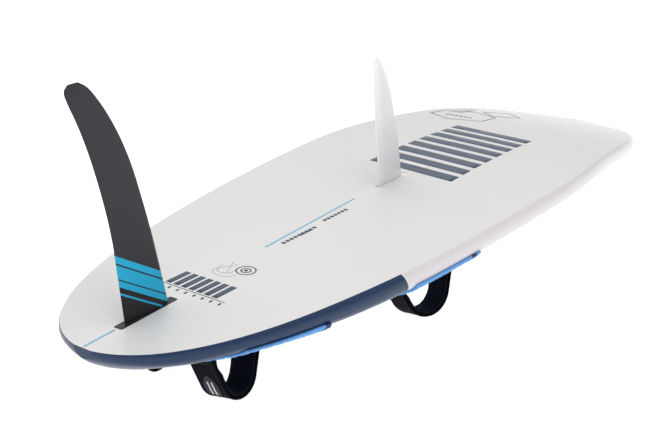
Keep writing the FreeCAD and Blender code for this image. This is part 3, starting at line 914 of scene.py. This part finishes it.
def nose_prints(ink, slate, grey):
    """Broad slanted slats ahead of the centre fin, and two line polygons near the nose."""
    slat_start, slat_pitch, slat_length = 1.182, 0.0713, 0.046
    starts = [slat_start + k * slat_pitch for k in range(8)]
    film("slanted_slats", [slat(x, x + slat_length, -0.136, 0.134, 0.024) for x in starts], slate)
    line = 0.006
    hexagon = arc(1.945, 0.208, 0.112, 0, 360, 6)
    diamond = arc(2.105, 0.135, 0.072, 0, 360, 4)
    frames = strip(hexagon, line) + strip(diamond, line)
    dash_start, dash_pitch, dash_width = 0.250, 0.017, 0.009
    for k in range(6):
        y = dash_start - k * dash_pitch
        frames.append(slat(1.905, 1.930, y, y + dash_width, 0.004))
    film("nose_frames", frames, ink)
    film("nose_patch", [bar(1.990, 2.120, 0.236, 0.292)], grey)


def bottom_prints():
    """Plain stand-ins for the printed marks, placed by their distance from the tail."""
    blue = print_film("print_blue", srgb(112, 190, 216))
    ink = print_film("print_ink", INK)
    slate = print_film("print_slate", srgb(38, 62, 88))
    grey = print_film("print_grey", srgb(166, 176, 180))
    film("centre_line", [bar(0.004, 0.082, -0.0022, 0.0022), bar(0.550, 0.920, 0.0016, 0.0064)], blue)
    tail_prints(ink, slate, grey)
    middle_prints(ink)
    nose_prints(ink, slate, grey)


bottom_prints()


# ---------------------------------------------------------------- studio

def area_light(name, position, target, size, power):
    lamp = bpy.data.lights.new(name, "AREA")
    lamp.size = size
    lamp.energy = power
    obj = bpy.data.objects.new(name, lamp)
    obj.location = position
    obj.rotation_euler = (Vector(target) - Vector(position)).to_track_quat("-Z", "Y").to_euler()
    bpy.context.collection.objects.link(obj)


def studio():
    """Bright sky over a darker horizon, two soft lights and a pale floor."""
    horizon, zenith = 0.45, 1.25
    world = bpy.data.worlds.new("studio")
    world.use_nodes = True
    background = world.node_tree.nodes["Background"]
    background.inputs["Color"].default_value = (1.0, 1.0, 1.0, 1.0)
    place = world.node_tree.nodes.new("ShaderNodeTexCoord")
    split = world.node_tree.nodes.new("ShaderNodeSeparateXYZ")
    rise = world.node_tree.nodes.new("ShaderNodeMapRange")
    rise.inputs["To Min"].default_value = horizon
    rise.inputs["To Max"].default_value = zenith
    world.node_tree.links.new(place.outputs["Generated"], split.inputs[0])
    world.node_tree.links.new(split.outputs["Z"], rise.inputs["Value"])
    world.node_tree.links.new(rise.outputs["Result"], background.inputs["Strength"])
    bpy.context.scene.world = world
    bpy.context.scene.view_settings.view_transform = "Standard"
    area_light("key", (-2.6, -2.4, 3.6), (0.0, 0.0, 0.1), 3.0, 30.0)
    area_light("top", (1.0, 1.8, 3.4), (0.2, 0.0, 0.1), 3.4, 20.0)
    reach = 14.0
    corners = [(-reach, -reach, 0), (reach, -reach, 0), (reach, reach, 0), (-reach, reach, 0)]
    floor = mesh_object("floor", corners, [(0, 1, 2, 3)], smooth=False)
    paper = Shader("floor_paper", (0.50, 0.50, 0.50, 1.0), 0.95, Specular_IOR_Level=0.0,
                   Emission_Color=(1.0, 1.0, 1.0, 1.0), Emission_Strength=0.92)
    floor.data.materials.append(paper.material)


LENS = 52.81
CAMERA_BEHIND = 1.050                # behind the tail, to the right of it and above the bottom
CAMERA_ASIDE = 1.225
CAMERA_ABOVE = 0.886
CAMERA_TURNS = (-56.83, 22.25, 1.02)  # azimuth, elevation and roll in degrees


def camera():
    """Low three-quarter view from behind the tail, as a 53 mm lens sees it."""
    data = bpy.data.cameras.new("camera")
    data.sensor_width = 36.0
    data.lens = LENS
    obj = bpy.data.objects.new("camera", data)
    obj.location = (TAIL_X - CAMERA_BEHIND, -CAMERA_ASIDE, FLAT_Z + CAMERA_ABOVE)
    azimuth, elevation, roll = (math.radians(angle) for angle in CAMERA_TURNS)
    back = Vector((math.sin(azimuth) * math.cos(elevation), -math.cos(azimuth) * math.cos(elevation),
                   math.sin(elevation)))
    right = (-back).cross(Vector((0, 0, 1))).normalized()
    up = right.cross(-back)
    turned_right = right * math.cos(roll) + up * math.sin(roll)
    turned_up = up * math.cos(roll) - right * math.sin(roll)
    rotation = Matrix((turned_right, turned_up, back)).transposed()
    obj.rotation_euler = rotation.to_euler()
    bpy.context.collection.objects.link(obj)
    bpy.context.scene.camera = obj


studio()
camera()
